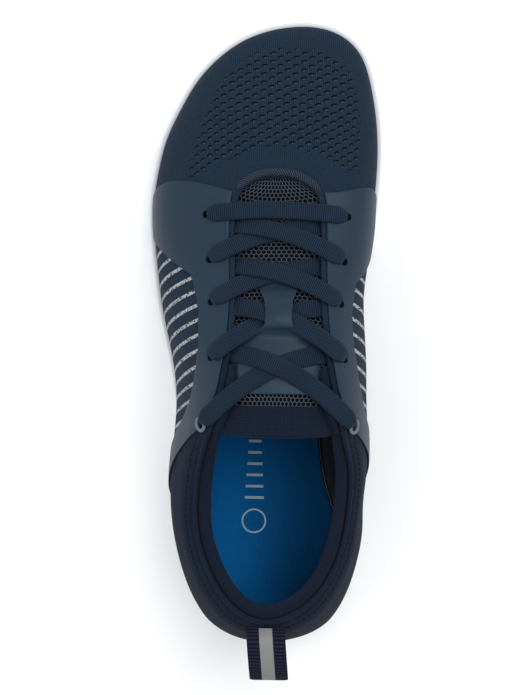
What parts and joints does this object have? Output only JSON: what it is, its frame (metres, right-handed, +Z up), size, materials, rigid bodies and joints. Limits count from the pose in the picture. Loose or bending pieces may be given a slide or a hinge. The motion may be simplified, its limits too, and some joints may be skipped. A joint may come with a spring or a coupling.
{
  "type": "barefoot shoe",
  "caption": "Left barefoot shoe: knitted upper with welded film sides, flat lacing, padded collar, pull loop and a thin lugged rubber sole.",
  "frame": {"origin": "on the floor, in the flat face of a tread lug under the heel, 60 mm in front of the heel end of the sole", "axes": "+Y towards the toe, +Z up, +X towards the inner (medial) side of the left foot"},
  "size_m": [0.1055, 0.2868, 0.0827],
  "materials": {
    "collar_cloth": "brushed cloth over foam",
    "eyelet_ring": "printed rim",
    "insole_foam": "foam board with a cloth face",
    "lace": "flat ribbed lace",
    "sole_rubber": "matt moulded rubber",
    "film": "smooth welded film",
    "webbing": "ribbed webbing with a grey stripe",
    "piping": "heathered knitted piping",
    "tongue_mesh": "open spacer mesh",
    "knit": "fine knit"
  },
  "bodies": {
    "root": {"collar_pad": "collar_cloth", "eyelet_lateral": "eyelet_ring", "eyelet_medial": "eyelet_ring", "insole": "insole_foam", "lace_bar": "lace", "lace_cross_1": "lace", "lace_cross_2": "lace", "lace_cross_3": "lace", "lace_cross_4": "lace", "outsole": "sole_rubber", "overlay_lateral": "film", "overlay_medial": "film", "pull_loop": "webbing", "throat_binding": "piping", "tongue": "tongue_mesh", "tongue_patch": "film", "upper": "knit"}
  },
  "joints": []
}
